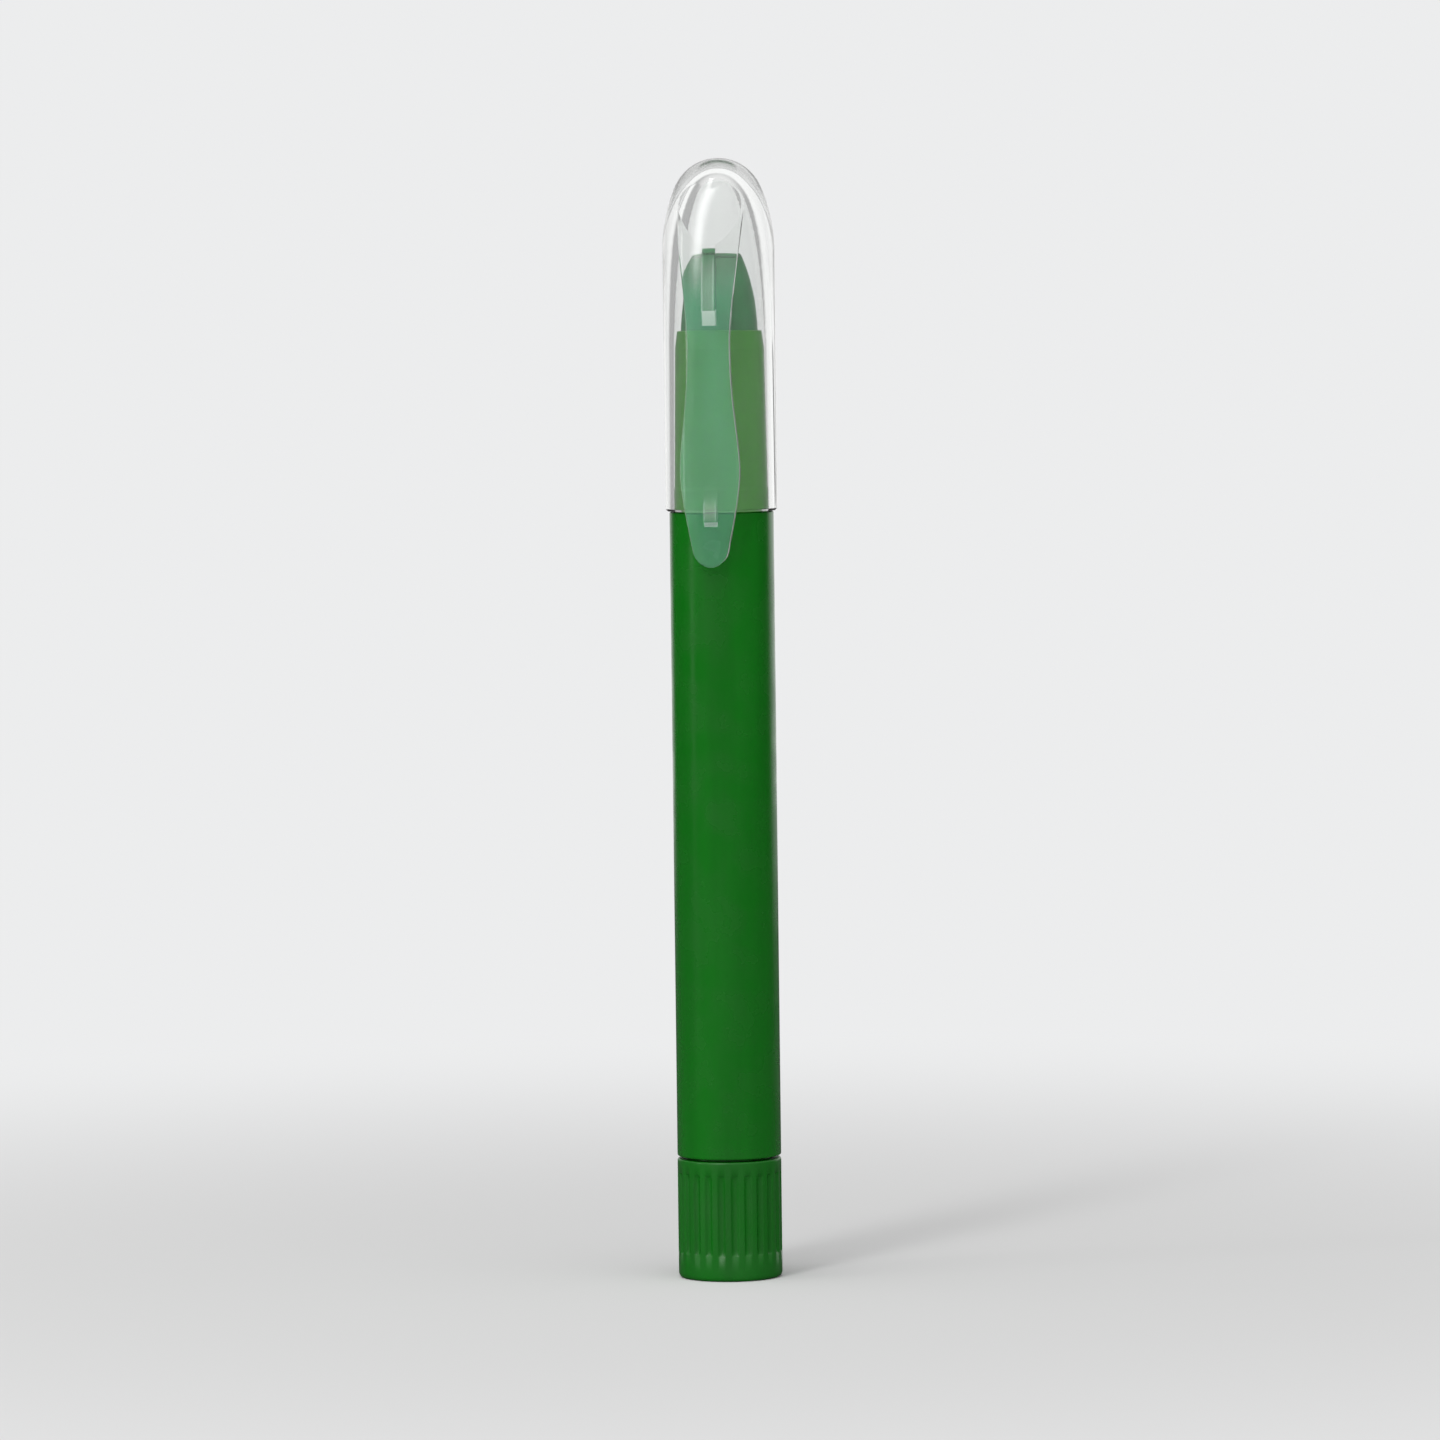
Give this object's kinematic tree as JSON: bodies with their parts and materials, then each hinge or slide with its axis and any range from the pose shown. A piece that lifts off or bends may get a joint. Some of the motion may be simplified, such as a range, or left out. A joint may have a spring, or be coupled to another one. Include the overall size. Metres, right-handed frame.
{
  "type": "twist crayon",
  "caption": "Round twist-up gel crayon with a clear domed cap and paddle clip, a blunt gel tip in a tapered nose, a plain barrel and a fluted twist knob.",
  "frame": {"origin": "centre of the twist knob's flat end face", "axes": "+Z along the crayon's axis from the knob towards the tip, the clip on the -Y side"},
  "size_m": [0.014, 0.016, 0.14],
  "materials": {
    "clear_plastic": "clear, polished, slightly milky",
    "barrel_plastic": "coloured, smooth gloss",
    "nose_plastic": "coloured, satin",
    "knob_plastic": "coloured, satin",
    "gel": "soft gel, slightly translucent",
    "natural_plastic": "uncoloured, waxy",
    "soft_ring": "matt"
  },
  "bodies": {
    "barrel": {"barrel": "barrel_plastic", "nose_sleeve": "nose_plastic"},
    "twist": {"twist_knob": "knob_plastic", "lead_screw": "natural_plastic", "drag_ring": "soft_ring"},
    "feed": {"carrier": "natural_plastic", "gel_stick": "gel"},
    "cap": {"cap": "clear_plastic"}
  },
  "joints": [
    {"name": "knob_twist", "type": "hinge", "parent": "barrel", "child": "twist", "pos_m": [0, 0, 0.0075], "axis": [0, 0, 1], "range_deg": [-1321, 721]},
    {"name": "stick_feed", "type": "slide", "parent": "barrel", "child": "feed", "axis": [0, 0, 1], "range_m": [-0.011, 0.006]},
    {"name": "cap_pull", "type": "slide", "parent": "barrel", "child": "cap", "axis": [0, 0, 1], "range_m": [0, 0.06]}
  ],
  "couplings": [
    {"joint": "knob_twist", "follows": "stick_feed", "rad_per_m": 2094.4}
  ]
}
